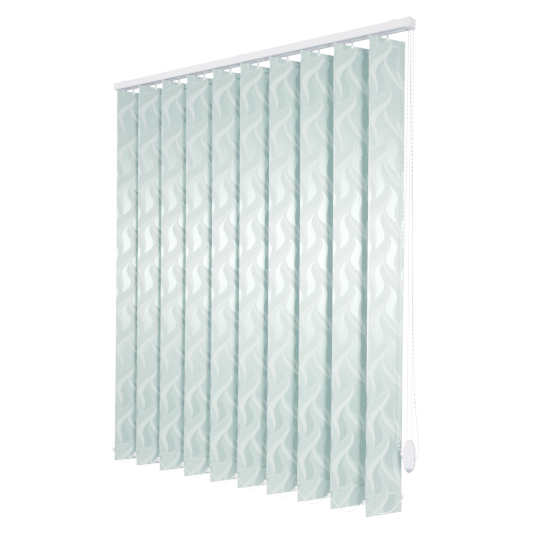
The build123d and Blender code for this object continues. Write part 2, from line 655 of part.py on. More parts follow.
def weight_outline(grow):
    half = WEIGHT_BODY_WIDTH / 2
    points = [
        (-WEIGHT_TOP_WIDTH / 2, 0),
        (WEIGHT_TOP_WIDTH / 2, 0),
        (half, -WEIGHT_SHOULDER),
        (half, -WEIGHT_SIDE_END),
        (WEIGHT_CHIN_WIDTH / 2, -WEIGHT_CHIN),
        (0, -WEIGHT_BODY_LENGTH),
        (-WEIGHT_CHIN_WIDTH / 2, -WEIGHT_CHIN),
        (-half, -WEIGHT_SIDE_END),
        (-half, -WEIGHT_SHOULDER),
    ]
    outline = make_face(Polyline(*points, close=True))
    outline = fillet(outline.vertices(), 4.0)
    return outline if grow == 0 else offset(outline, grow)


# Cord weight shell: half of the two-shell body, with half of the chain's boss inside
def weight_shell(side):
    half = WEIGHT_DEPTH / 2
    face = Plane.XZ * weight_outline(0)
    hollow = Plane.XZ * weight_outline(-WEIGHT_WALL)
    shell = Pos(0, -0.02, 0) * extrude(face, half - 0.02)
    shell -= extrude(hollow, half - WEIGHT_WALL)
    shell += prism_along_y(WEIGHT_BOSS_RADIUS - 0.15, 16, 0, -half + 0.5, -0.02, -WEIGHT_BOSS_DROP)
    cord_half = WEIGHT_PULLEY_TURN + CORD_RADIUS + 0.6
    shell -= block(-cord_half, cord_half, -CORD_RADIUS - 0.6, CORD_RADIUS + 0.6, -2 * WEIGHT_WALL, 1)
    room = BEAD_RADIUS + 0.5
    side_top = WEIGHT_SIDE_END - 20
    shell -= block(-40, -WEIGHT_BOSS_RADIUS - 0.5, -room, room, -WEIGHT_SIDE_END - 6, -side_top)
    shell -= block(WEIGHT_BOSS_RADIUS + 0.5, 40, -room, room, -WEIGHT_SIDE_END - 6, -side_top)
    if side > 0:
        shell = mirror(shell, Plane.XZ)
        inner = half - WEIGHT_WALL
        shell += prism_along_y(PULLEY_AXLE - 0.1, 8, 0, -inner + 0.1, inner + 0.5, -WEIGHT_PULLEY_DROP)
    return Pos(WEIGHT_X, WEIGHT_Y, WEIGHT_TOP) * shell


# Connector: open oval link that joins the chain's two ends
def chain_connector():
    outline = SlotOverall(CONNECTOR_LENGTH, CONNECTOR_WIDTH)
    opening = SlotOverall(CONNECTOR_LENGTH - 3, CONNECTOR_WIDTH - 3)
    ring = extrude(Plane.XZ * Rot(0, 0, 90) * (outline - opening), 1.5, both=True)
    return Pos(612.5, 2.5, -1077) * Rot(0, -6, 0) * ring


def main():
    os.makedirs("parts", exist_ok=True)
    write("headrail", headrail())
    clip_x = HALF_LENGTH - CLIP_FROM_END
    write("ceiling_clips", *[ceiling_clip(x) for x in (-clip_x, 0, clip_x)])
    one_carrier, one_worm, one_hook = carrier(), worm(), hook()
    one_slat, one_hanger, one_weight = slat(), hanger(), weight_plate()
    for number in range(1, SLAT_COUNT + 1):
        place = Pos(hook_x(number), 0, 0)
        pieces = [place * one_carrier, place * one_worm]
        if number > 1:
            pieces.append(place * spacer(number))
        write(f"carrier_{number:02d}", *pieces)
        write(f"hook_{number:02d}", at_hook(number, one_hook))
        write(f"slat_{number:02d}", at_hook(number, one_slat))
        write(f"slat_insert_{number:02d}", at_hook(number, one_hanger), at_hook(number, one_weight))
    write("front_chain", *bottom_chain(-1))
    write("rear_chain", *bottom_chain(1))
    write("end_chain", at_hook(SLAT_COUNT, end_chain()))
    write("control_housing", control_housing())
    write("control_cover", control_cover())
    write("idler_housing", idler_housing())
    write("tilt_rod", tilt_rod())
    write("chain_wheel", chain_wheel())
    cord_wheel = Rot(90, 0, 0) * pulley(PULLEY_TURN, PULLEY_FLANGE, PULLEY_BORE)
    write("cord_pulley_front", Pos(FRONT_PULLEY_X, FRONT_CORD_OUT, PULLEY_Z) * cord_wheel)
    write("cord_pulley_rear", Pos(REAR_PULLEY_X, REAR_CORD_OUT, PULLEY_Z) * cord_wheel)
    return_wheel = pulley(RETURN_TURN, RETURN_TURN + 0.9, PULLEY_BORE)
    write("return_pulley", Pos(RETURN_X, RETURN_Y, CORD_Z) * return_wheel)
    weight_wheel = Rot(90, 0, 0) * pulley(WEIGHT_PULLEY_TURN, WEIGHT_PULLEY_TURN + 1, PULLEY_BORE)
    write("weight_pulley", Pos(WEIGHT_X, WEIGHT_Y, WEIGHT_TOP - WEIGHT_PULLEY_DROP) * weight_wheel)
    write("weight_shell_front", weight_shell(-1))
    write("weight_shell_rear", weight_shell(1))
    write("rail_cord", rail_cord())
    write("draw_cord", draw_cord())
    write("control_chain", *control_chain())
    write("chain_connector", chain_connector())


main()
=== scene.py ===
"""Looks of a fabric vertical blind with ten slats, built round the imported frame."""

import logging
import math
from collections.abc import Sequence
from dataclasses import asdict, dataclass, replace
from enum import Enum
from functools import cache, reduce

import bmesh
import bpy
from bmesh.types import BMesh, BMFace
from bpy.types import ID, Material, Mesh, Node, NodeSocket, NodeTree, Object
from mathutils import Matrix, Vector


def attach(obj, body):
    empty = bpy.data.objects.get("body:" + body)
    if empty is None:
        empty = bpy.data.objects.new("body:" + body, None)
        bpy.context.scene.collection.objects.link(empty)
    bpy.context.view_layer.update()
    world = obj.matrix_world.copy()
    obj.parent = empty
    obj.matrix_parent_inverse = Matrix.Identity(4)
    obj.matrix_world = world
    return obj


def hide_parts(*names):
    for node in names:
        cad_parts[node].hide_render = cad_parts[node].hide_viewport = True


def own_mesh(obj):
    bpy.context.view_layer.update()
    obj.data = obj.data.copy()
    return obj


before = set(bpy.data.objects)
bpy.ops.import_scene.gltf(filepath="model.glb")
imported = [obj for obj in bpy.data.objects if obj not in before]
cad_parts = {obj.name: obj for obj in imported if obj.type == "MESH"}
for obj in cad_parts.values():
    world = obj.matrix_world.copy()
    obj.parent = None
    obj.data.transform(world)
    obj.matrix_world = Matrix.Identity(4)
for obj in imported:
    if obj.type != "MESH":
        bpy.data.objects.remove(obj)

log = logging.getLogger("vertical_blind")

MM = 0.001
SLAT_COUNT = 10
SLAT_PITCH = 115 * MM
LAST_HOOK_X = 521 * MM
REST_TURN = math.radians(63)
RAIL_BOTTOM = -26.7 * MM
SLAT_TOP = -42.7 * MM
SLAT_LENGTH = 1365 * MM
SLAT_WIDTH = 127 * MM
SLAT_BOTTOM = SLAT_TOP - SLAT_LENGTH
CLIP_Z = SLAT_BOTTOM + 42 * MM
CHAIN_REACH = 70.4 * MM
ROD_Y = -9 * MM
ROD_Z = -13.6 * MM
BLADE_SEAM_HALF = 0.0005
CLOTH_MAP = "cloth"
TINY = 1e-6

Point = tuple[float, float, float]


def slat_place(number: int) -> Matrix:
    """Returns the matrix that places a slat's own axes, with local X along its width."""
    x = LAST_HOOK_X - (SLAT_COUNT - number) * SLAT_PITCH
    return Matrix.Translation((x, 0, 0)) @ Matrix.Rotation(REST_TURN, 4, "Z")


# ---- shader groups


class Nodes:
    """A short way to lay out shader nodes in one tree."""

    def __init__(self, tree: NodeTree) -> None:
        """Keeps the tree that the nodes go into."""
        self.tree = tree

    def feed(self, socket: NodeSocket, value: object) -> None:
        """Links an input to another node's socket, or sets it to a plain value.

        Args:
            socket: The input.
            value: A socket, number, colour or place.
        """
        if isinstance(value, NodeSocket):
            self.tree.links.new(value, socket)
        else:
            socket.default_value = value

    def fill(self, node: Node, **inputs: object) -> Node:
        """Feeds a node's inputs.

        Args:
            node: The node.
            inputs: Input names, with spaces as underscores, and their values or sockets.

        Returns:
            The same node.
        """
        for name, value in inputs.items():
            self.feed(node.inputs[name.replace("_", " ")], value)
        return node

    def add(self, kind: str, **inputs: object) -> Node:
        """Returns a new node of a kind, with its inputs fed."""
        return self.fill(self.tree.nodes.new(kind), **inputs)

    def math(self, operation: str, *values: object) -> NodeSocket:
        """Adds a Math node.

        Args:
            operation: Blender's name of the operation.
            values: Numbers or sockets, in the node's order.

        Returns:
            The node's output socket.
        """
        node = self.tree.nodes.new("ShaderNodeMath")
        node.operation = operation
        for socket, value in zip(node.inputs, values):
            self.feed(socket, value)
        return node.outputs[0]

    def times(self, *values: object) -> NodeSocket:
        """Returns the product of two values."""
        return self.math("MULTIPLY", *values)

    def minus(self, *values: object) -> NodeSocket:
        """Returns the difference of two values."""
        return self.math("SUBTRACT", *values)

    def times_plus(self, *values: object) -> NodeSocket:
        """Returns the product of two values plus a third."""
        return self.math("MULTIPLY_ADD", *values)

    def absolute(self, value: object) -> NodeSocket:
        """Returns a value without its sign."""
        return self.math("ABSOLUTE", value)

    def ramp(
        self, value: object, low: object, high: object, start: float = 0.0, end: float = 1.0,
    ) -> NodeSocket:
        """Adds a smooth step between two values.

        Args:
            value: The socket that is read.
            low: Value where the step starts.
            high: Value where the step ends.
            start: Result at the step's start.
            end: Result at the step's end.

        Returns:
            The node's result socket.
        """
        node = self.tree.nodes.new("ShaderNodeMapRange")
        node.interpolation_type = "SMOOTHSTEP"
        names = ("Value", "From Min", "From Max", "To Min", "To Max")
        for name, item in zip(names, (value, low, high, start, end)):
            self.feed(node.inputs[name], item)
        return node.outputs["Result"]

    def mix(self, factor: object, first: object, second: object) -> NodeSocket:
        """Adds a colour mix.

        Args:
            factor: Share of the second colour.
            first: Colour at 0.
            second: Colour at 1.

        Returns:
            The mixed colour's socket.
        """
        node = self.tree.nodes.new("ShaderNodeMix")
        node.data_type = "RGBA"
        for index, item in ((0, factor), (6, first), (7, second)):
            self.feed(node.inputs[index], item)
        return node.outputs[2]

    def tint(self, colour: object, mask: NodeSocket, share: float, paint: Point) -> NodeSocket:
        """Returns a colour with a share of a paint laid over it where a mask is."""
        return self.mix(self.times(mask, share), colour, (*paint, 1))

    def cover(self, sources: Sequence[Node], output: str) -> NodeSocket:
        """Returns the largest of one output of several nodes."""
        found = [source.outputs[output] for source in sources]
        return reduce(lambda first, second: self.math("MAXIMUM", first, second), found)


GroupParts = tuple[NodeTree, Nodes, Node, Node]


def socket_kind(label: str) -> str:
    """Returns the kind of socket that the last word of a label asks for."""
    kinds = {"colour": "NodeSocketColor", "vector": "NodeSocketVector"}
    return kinds.get(label.lower().split()[-1], "NodeSocketFloat")


def new_group(name: str, inputs: dict[str, float | None], outputs: Sequence[str]) -> GroupParts:
    """Starts a shader group with named sockets.

    Args:
        name: The group's name.
        inputs: Input names and their default numbers, or None for a colour or vector.
        outputs: Output names.

    Returns:
        The group, its layout helper, its input node and its output node.
    """
    group = bpy.data.node_groups.new(name, "ShaderNodeTree")
    for label, value in inputs.items():
        socket = group.interface.new_socket(label, in_out="INPUT", socket_type=socket_kind(label))
        if value is not None:
            socket.default_value = value
    for label in outputs:
        group.interface.new_socket(label, in_out="OUTPUT", socket_type=socket_kind(label))
    start = group.nodes.new("NodeGroupInput")
    end = group.nodes.new("NodeGroupOutput")
    return group, Nodes(group), start, end


@cache
def blade_group() -> NodeTree:
    """One column of woven blades: tapered S-shaped tongues, one to each repeat.

    Returns:
        A group that reads a place on the cloth and puts out the blade's inside, its whole rim, the rim's
        left and right halves, and two veins along it.
    """
    inputs = {
        "Across": 0.0, "Along": 0.0, "Centre": 0.0, "Middle": 0.0, "Repeat": 0.1432, "Length": 0.12,
        "Lean": 0.0, "Sway": 0.01, "Bow": 0.0, "Width": 0.024, "Skew": 0.0, "Edge": 0.0012,
        "Taper": 0.9, "Tip": 0.06, "Vein place": 0.4, "Vein half": 0.0006,
    }
    outputs = ("Inside", "Rim", "Left", "Right", "Vein")
    group, nodes, start, end = new_group("woven blade column", inputs, outputs)
    get = start.outputs
    half = nodes.times(get["Repeat"], 0.5)
    minus_half = nodes.times(get["Repeat"], -0.5)
    wrapped = nodes.math("WRAP", nodes.minus(get["Along"], get["Middle"]), half, minus_half)
    share = nodes.math("DIVIDE", wrapped, get["Length"])
    wave = nodes.math("SINE", nodes.times(share, 2 * math.pi))
    swing = nodes.times(wave, get["Sway"])
    arch = nodes.math("COSINE", nodes.times(share, math.pi))
    bow = nodes.times(arch, get["Bow"])
    centre = nodes.times_plus(share, get["Lean"], get["Centre"])
    centre = nodes.math("ADD", centre, nodes.math("ADD", swing, bow))
    offset = nodes.minus(get["Across"], centre)
    square = nodes.times(share, share)
    taper = nodes.math("MAXIMUM", nodes.times_plus(square, -4.0, 1.0), 0.0)
    widest = nodes.times(get["Width"], 0.5)
    width = nodes.times(nodes.math("POWER", taper, get["Taper"]), widest)
    width = nodes.times(width, nodes.times_plus(share, get["Skew"], 1.0))
    depth = nodes.minus(width, nodes.absolute(offset))
    present = nodes.ramp(taper, 0.0, get["Tip"])
    inside = nodes.times(nodes.ramp(depth, 0.0, get["Edge"]), present)
    near_rim = nodes.ramp(nodes.absolute(depth), 0.0, get["Edge"], 1.0, 0.0)
    rim = nodes.times(near_rim, present)
    vein_place = nodes.times(width, get["Vein place"])
    vein = nodes.absolute(nodes.minus(nodes.absolute(offset), vein_place))
    near_vein = nodes.ramp(vein, 0.0, get["Vein half"], 1.0, 0.0)
    right = nodes.ramp(offset, -BLADE_SEAM_HALF, BLADE_SEAM_HALF)
    nodes.fill(
        end, Inside=inside, Rim=rim, Right=nodes.times(rim, right),
        Left=nodes.times(rim, nodes.minus(1.0, right)),
        Vein=nodes.times(near_vein, inside),
    )
    return group


@dataclass(frozen=True)
class BladeColumn:
    """One column of woven blades, in metres from the slat's middle and top."""

    centre: float
    middle: float
    length: float
    lean: float
    sway: float
    bow: float
    width: float
    skew: float

    def moved(self, across: float) -> "BladeColumn":
        """Returns the same column further across the cloth."""
        return replace(self, centre=self.centre + across)


PATTERN_ACROSS = 0.095
LEFT_TONGUE = BladeColumn(-0.0198, 0.1132, 0.1163, -0.0356, 0.0127, -0.0061, 0.0260, 1.4)
RIGHT_TONGUE = BladeColumn(0.0231, 0.0414, 0.1060, 0.0245, -0.0126, -0.0014, 0.0303, 0.7)
SATIN_COLUMNS = (
    LEFT_TONGUE, RIGHT_TONGUE, LEFT_TONGUE.moved(PATTERN_ACROSS), RIGHT_TONGUE.moved(-PATTERN_ACROSS),
)
RIBBON_COLUMNS = (
    BladeColumn(-0.0172, 0.0534, 0.1082, -0.0524, -0.0141, 0.0020, 0.0225, 1.3),
    BladeColumn(-0.0498, 0.1318, 0.0924, 0.0211, 0.0014, 0.0118, 0.0128, -1.8),
    BladeColumn(0.0329, 0.0850, 0.1188, 0.0492, 0.0046, -0.0322, 0.0119, 2.2),
    BladeColumn(0.0452, 0.1318, 0.0924, 0.0211, 0.0014, 0.0118, 0.0128, -1.8),
)
LINE_COLUMNS = (
    BladeColumn(-0.0259, 0.0279, 0.0576, -0.0688, -0.0108, -0.0121, 0.0050, -0.4),
    BladeColumn(0.0182, 0.1231, 0.1104, 0.0540, 0.0073, -0.0249, 0.0032, 1.1),
)


@cache
def weave_group() -> NodeTree:
    """The cloth's thread bumps and slubs.

    Returns:
        A group that reads a place on the cloth and puts out a height and a slub mask.
    """
    inputs = {"Across": 0.0, "Along": 0.0, "Thread": 0.0006, "Slubs across": 260.0, "Slubs along": 1500.0}
    group, nodes, start, end = new_group("fine weave", inputs, ("Height", "Slub"))
    get = start.outputs
    turns = nodes.math("DIVIDE", 2 * math.pi, get["Thread"])
    warp = nodes.math("SINE", nodes.times(get["Across"], turns))
    weft = nodes.math("SINE", nodes.times(get["Along"], turns))
    height = nodes.times_plus(nodes.times(warp, weft), 0.5, 0.5)
    x = nodes.times(get["Across"], get["Slubs across"])
    y = nodes.times(get["Along"], get["Slubs along"])
    place = nodes.add("ShaderNodeCombineXYZ", X=x, Y=y)
    noise = nodes.add("ShaderNodeTexNoise", Vector=place.outputs[0], Scale=1.0, Detail=3.0)
    nodes.fill(end, Height=height, Slub=noise.outputs["Fac"])
    return group


@cache
def moulded_group() -> NodeTree:
    """Faint unevenness of moulded or painted surfaces.

    Returns:
        A group that reads object coordinates and puts out a colour, a roughness and a height.
    """
    inputs = {
        "Place vector": None, "Base colour": None, "Shade colour": None, "Roughness": 0.4, "Spread": 0.06,
        "Clouds": 14.0, "Grain": 900.0,
    }
    group, nodes, start, end = new_group("moulded skin", inputs, ("Colour", "Roughness", "Height"))
    get = start.outputs
    cloud = nodes.add("ShaderNodeTexNoise", Vector=get["Place vector"], Scale=get["Clouds"], Detail=3.0)
    grain = nodes.add("ShaderNodeTexNoise", Vector=get["Place vector"], Scale=get["Grain"], Detail=2.0)
    mask = nodes.ramp(cloud.outputs["Fac"], 0.35, 0.7)
    uneven = nodes.minus(cloud.outputs["Fac"], 0.5)
    rough = nodes.times_plus(uneven, get["Spread"], get["Roughness"])
    colour = nodes.mix(mask, get["Base colour"], get["Shade colour"])
    nodes.fill(end, Colour=colour, Roughness=rough, Height=grain.outputs["Fac"])
    return group


def new_material(name: str) -> tuple[Material, Nodes, Node]:
    """Starts a material with one main shader.

    Args:
        name: The material's name.

    Returns:
        The material, its layout helper and its main shader node.
    """
    material = bpy.data.materials.new(name)
    material.use_nodes = True
    return material, Nodes(material.node_tree), material.node_tree.nodes["Principled BSDF"]


def place_group(nodes: Nodes, group: NodeTree, **inputs: object) -> Node:
    """Puts a group into a tree.

    Args:
        nodes: The tree's layout helper.
        group: The group.
        inputs: Input names, with spaces as underscores, and their values or sockets.

    Returns:
        The group's node.
    """
    node = nodes.add("ShaderNodeGroup")
    node.node_tree = group
    return nodes.fill(node, **inputs)


# ---- finishes


@dataclass(frozen=True)
class MouldedFinish:
    """Moulded plastic, paint or plain metal.

    The shade is the colour of faint clouds or, where two heights are given, of a painted shade that darkens
    the surface from the first height, where it starts, to the second, where it is full. The grain is a height
    in metres.
    """

    name: str
    base: Point
    shade: Point
    roughness: float = 0.4
    metallic: float = 0.0
    grain: float = 0.00002
    clear: float = 0.0
    coat: float = 0.0
    fade: tuple[float, float] | None = None
    strength: float = 0.6

    def build(self) -> Material:
        """Builds the shader.

        Returns:
            The finish as a material.
        """
        material, nodes, shader = new_material(self.name)
        base, shade = (*self.base, 1), (*self.shade, 1)
        place = nodes.add("ShaderNodeTexCoord").outputs["Object"]
        skin = place_group(
            nodes, moulded_group(), Place_vector=place, Base_colour=base, Shade_colour=shade,
            Roughness=self.roughness,
        )
        colour = skin.outputs["Colour"]
        # Painted shade: between the two heights the colour darkens from base to shade.
        if self.fade:
            level = nodes.add("ShaderNodeSeparateXYZ", Vector=place).outputs["Z"]
            colour = nodes.mix(nodes.ramp(level, *self.fade), base, shade)
        height = skin.outputs["Height"]
        bump = nodes.add("ShaderNodeBump", Distance=self.grain, Strength=self.strength, Height=height)
        nodes.fill(
            shader, Base_Color=colour, Roughness=skin.outputs["Roughness"], Normal=bump.outputs["Normal"],
            Metallic=self.metallic, Transmission_Weight=self.clear, Coat_Weight=self.coat,
        )
        return material


@dataclass(frozen=True)
class CordFinish:
    """Braided cord, in metres: base is the crowns' colour, and lay the length of one turn of the braid."""

    name: str
    base: Point
    valley: Point
    lay: float = 0.0025
    crossing: float = 2200.0
    relief: float = 0.0002
    strength: float = 0.5
    roughness: float = 0.75
    sheen: float = 0.2

    def build(self) -> Material:
        """Builds the shader.

        Returns:
            The finish as a material.
        """
        material, nodes, shader = new_material(self.name)
        place = nodes.add("ShaderNodeTexCoord").outputs["Object"]
        split = nodes.add("ShaderNodeSeparateXYZ", Vector=place)
        down = nodes.times(split.outputs["Z"], 2 * math.pi / self.lay)
        both = nodes.math("ADD", split.outputs["X"], split.outputs["Y"])
        across = nodes.times(both, self.crossing)
        one = nodes.math("SINE", nodes.math("ADD", down, across))
        two = nodes.math("SINE", nodes.minus(down, across))
        crown = nodes.times_plus(nodes.times(one, two), 0.5, 0.5)
        colour = nodes.mix(crown, (*self.valley, 1), (*self.base, 1))
        bump = nodes.add("ShaderNodeBump", Distance=self.relief, Strength=self.strength, Height=crown)
        nodes.fill(
            shader, Base_Color=colour, Normal=bump.outputs["Normal"], Roughness=self.roughness,
            Sheen_Weight=self.sheen,
        )
        return material


@dataclass(frozen=True)
class ClothSizes:
    """Places and widths on the slat cloth, in metres, measured down from its top and in from its sides."""

    repeat: float = 0.1432
    weld_top: float = 19.5 * MM
    weld_bottom: float = SLAT_LENGTH - 60 * MM
    weld_top_half: float = 0.0018
    weld_bottom_half: float = 0.0014
    pressed_half: float = 0.004
    hem_start: float = 0.001
    side_width: float = 0.0013
    side_full: float = 0.0005


@dataclass(frozen=True)
class ClothShares:
    """How fully each paint covers its part of the slat cloth, from 0 to 1."""

    outline_on_tongue_rims: float = 0.45
    # Painted shade on the ribbons' right rims and painted highlight on their left rims, as if lit from one
    # side.
    outline_on_ribbon_rims: float = 0.5
    edge_on_ribbon_rims: float = 0.6
    edge_on_veins: float = 0.35
    outline_on_slubs: float = 0.10
    ribbon_on_hem: float = 0.22
    outline_on_folded_rims: float = 0.45
    outline_on_welds: float = 0.6
    outline_where_pressed: float = 0.3
    # Both side edges: a sealed edge's lighter tone with a painted highlight.
    edge_on_sides: float = 0.8


@dataclass(frozen=True)
class ClothSkin:
    """Shine, roughness and relief of the slat cloth's parts, with heights counted in weave reliefs."""

    satin_metal: float = 0.87
    ground_metal: float = 0.04
    satin_roughness: float = 0.47
    ground_roughness: float = 0.52
    pressed_roughness: float = 0.35
    satin_height: float = -0.6
    weld_height: float = -2.0
    relief: float = 0.00006
    strength: float = 0.4


@dataclass(frozen=True)
class ClothPlace:
    """A place on the cloth, as a shader reads it: across from the slat's middle and along from its top."""

    nodes: Nodes
    across: NodeSocket
    along: NodeSocket


@dataclass(frozen=True)
class ClothFinish:
    """Slat cloth: a matte ground and ribbons with satin tongues woven tone on tone.

    Attributes:
        name: The material's name.
        ground: Colour of the plain weave.
        satin: Colour of the satin tongues.
        ribbon: Colour of the light ribbons and lines.
        outline: Colour of the dark outlines and welds, and of the painted shade on the ribbons' right rims.
        edge: Colour of the light veins, of the sealed side edges with their painted highlight, and of the
            painted highlight on the ribbons' left rims.
        sizes: Places and widths.
        shares: How fully the paints cover.
        skin: Shine, roughness and relief.
    """

    name: str
    ground: Point
    satin: Point
    ribbon: Point
    outline: Point
    edge: Point
    sizes: ClothSizes = ClothSizes()
    shares: ClothShares = ClothShares()
    skin: ClothSkin = ClothSkin()

    def columns(self, at: ClothPlace, items: Sequence[BladeColumn]) -> list[Node]:
        """Places columns of blades.

        Args:
            at: Where the cloth is read.
            items: The columns' sizes.

        Returns:
            The columns' group nodes.
        """
        placed = []
        for item in items:
            sizes = {name.capitalize(): value for name, value in asdict(item).items()}
            placed.append(place_group(
                at.nodes, blade_group(), Across=at.across, Along=at.along, Repeat=self.sizes.repeat, **sizes,
            ))
        return placed

    def weld_lines(self, at: ClothPlace, top_half: float, bottom_half: float) -> NodeSocket:
        """Draws a soft line along each weld.

        Args:
            at: Where the cloth is read.
            top_half: Half the height of the top weld's line.
            bottom_half: Half the height of the bottom weld's line.

        Returns:
            The lines' mask.
        """
        lines = []
        for place, half in ((self.sizes.weld_top, top_half), (self.sizes.weld_bottom, bottom_half)):
            away = at.nodes.absolute(at.nodes.minus(at.along, place))
            lines.append(at.nodes.ramp(away, half * 0.4, half, 1.0, 0.0))
        return at.nodes.math("MAXIMUM", *lines)

    def woven(self, at: ClothPlace, flat: NodeSocket) -> tuple[NodeSocket, NodeSocket, NodeSocket]:
        """Weaves the pattern.

        Args:
            at: Where the cloth is read.
            flat: Where the welds press the satin flat.

        Returns:
            The pattern's colour, the satin's mask and the ribbons' mask.
        """
        nodes, shares = at.nodes, self.shares
        tongues = self.columns(at, SATIN_COLUMNS)
        ribbons = self.columns(at, RIBBON_COLUMNS)
        lines = self.columns(at, LINE_COLUMNS)
        satin = nodes.times(nodes.cover(tongues, "Inside"), nodes.minus(1.0, flat))
        plain = nodes.minus(1.0, satin)
        ribbon = nodes.times(nodes.cover(ribbons + lines, "Inside"), plain)
        colour = nodes.mix(satin, (*self.ground, 1), (*self.satin, 1))
        colour = nodes.mix(ribbon, colour, (*self.ribbon, 1))
        colour = nodes.tint(colour, nodes.cover(tongues, "Rim"), shares.outline_on_tongue_rims, self.outline)
        # Painted shade on the ribbons' right rims, painted highlight on their left rims, light veins inside
        # them.
        for output, share, paint in (
            ("Right", shares.outline_on_ribbon_rims, self.outline),
            ("Left", shares.edge_on_ribbon_rims, self.edge),
            ("Vein", shares.edge_on_veins, self.edge),
        ):
            mask = nodes.times(nodes.cover(ribbons, output), plain)
            colour = nodes.tint(colour, mask, share, paint)
        return colour, satin, ribbon

    def hemmed(self, at: ClothPlace, colour: NodeSocket) -> NodeSocket:
        """Lightens the bottom hem and lets the folded layer's tongues show through it.

        Args:
            at: Where the cloth is read.
            colour: The cloth's colour.

        Returns:
            The new colour.
        """
        nodes, start = at.nodes, self.sizes.weld_bottom
        hem = nodes.ramp(at.along, start, start + self.sizes.hem_start)
        colour = nodes.tint(colour, hem, self.shares.ribbon_on_hem, self.ribbon)
        behind = replace(at, along=nodes.minus(2 * SLAT_LENGTH, at.along))
        rims = nodes.cover(self.columns(behind, (LEFT_TONGUE, RIGHT_TONGUE)), "Rim")
        mask = nodes.times(rims, hem)
        return nodes.tint(colour, mask, self.shares.outline_on_folded_rims, self.outline)

    def build(self) -> Material:
        """Builds the shader.

        Returns:
            The finish as a material.
        """
        material, nodes, shader = new_material(self.name)
        split = nodes.add("ShaderNodeSeparateXYZ", Vector=nodes.add("ShaderNodeTexCoord").outputs["UV"])
        at = ClothPlace(nodes, split.outputs["X"], split.outputs["Y"])
        sizes, shares, skin = self.sizes, self.shares, self.skin
        flat = self.weld_lines(at, sizes.pressed_half, sizes.pressed_half)
        weld = self.weld_lines(at, sizes.weld_top_half, sizes.weld_bottom_half)
        weave = place_group(nodes, weave_group(), Across=at.across, Along=at.along)
        colour, satin, ribbon = self.woven(at, flat)
        slub = nodes.ramp(weave.outputs["Slub"], 0.3, 0.7, 0.0, shares.outline_on_slubs)
        colour = nodes.mix(slub, colour, (*self.outline, 1))
        colour = self.hemmed(at, colour)
        colour = nodes.tint(colour, weld, shares.outline_on_welds, self.outline)
        colour = nodes.tint(colour, flat, shares.outline_where_pressed, self.outline)
        # Both side edges lighten: the sealed edge with a painted highlight.
        start, full = SLAT_WIDTH / 2 - sizes.side_width, SLAT_WIDTH / 2 - sizes.side_full
        sides = nodes.ramp(nodes.absolute(at.across), start, full)
        colour = nodes.tint(colour, sides, shares.edge_on_sides, self.edge)
        rough = nodes.ramp(satin, 0.0, 1.0, skin.ground_roughness, skin.satin_roughness)
        rough = nodes.times_plus(flat, skin.pressed_roughness, rough)
        matt = nodes.times(nodes.minus(1.0, ribbon), skin.ground_metal)
        shine = nodes.times_plus(satin, skin.satin_metal - skin.ground_metal, matt)
        height = nodes.times_plus(satin, skin.satin_height, weave.outputs["Height"])
        height = nodes.times_plus(weld, skin.weld_height, height)
        bump = nodes.add("ShaderNodeBump", Distance=skin.relief, Strength=skin.strength, Height=height)
        tangent = nodes.add("ShaderNodeTangent")
        tangent.direction_type = "UV_MAP"
        tangent.uv_map = CLOTH_MAP
        nodes.fill(
            shader, Base_Color=colour, Roughness=rough, Metallic=shine, Normal=bump.outputs["Normal"],
            Tangent=tangent.outputs["Tangent"], Anisotropic=1.0, Specular_IOR_Level=1.0,
        )
        return material


